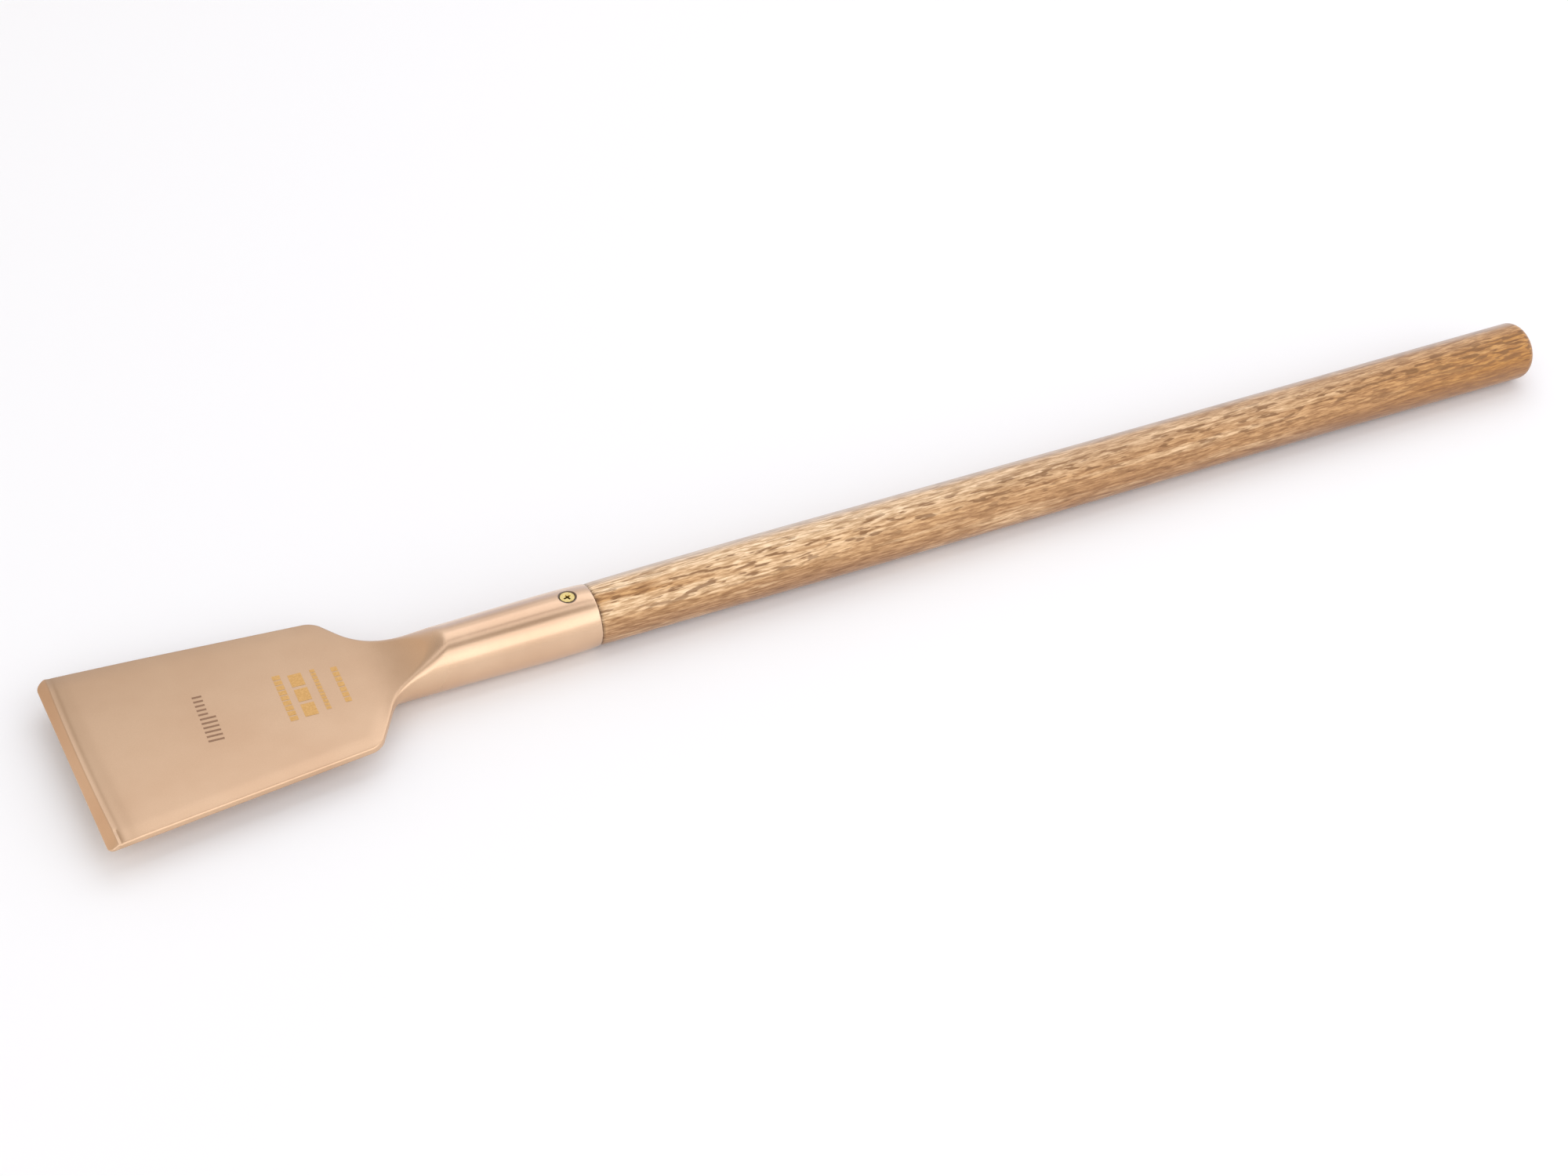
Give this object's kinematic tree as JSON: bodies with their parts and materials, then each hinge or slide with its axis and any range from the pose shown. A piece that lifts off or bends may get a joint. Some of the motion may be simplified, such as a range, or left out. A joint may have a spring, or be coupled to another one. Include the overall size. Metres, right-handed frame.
{
  "type": "long-handled hand scraper",
  "caption": "Non-sparking hand scraper: flat flared copper-alloy blade with a ground bevel, round socket cast in one with it, and a round wooden handle held by a screw.",
  "frame": {"origin": "bottom centre of the whole tool's box: half way along its length, on the handle's axis seen from above, at the height of the socket's lowest line", "axes": "+X along the handle from the blade's cutting edge to the domed end, +Z out of the blade's upper face, where the bevel and the screw are, +Y across the blade"},
  "size_m": [0.692, 0.0998, 0.0274],
  "materials": {
    "copper_alloy": "fine brushed satin, rose gold",
    "handle_wood": "plain turned hardwood, lightly oiled",
    "screw_brass": "bright yellow brass"
  },
  "bodies": {
    "root": {"scraper_head": "copper_alloy", "handle": "handle_wood", "retaining_screw": "screw_brass"}
  },
  "joints": []
}
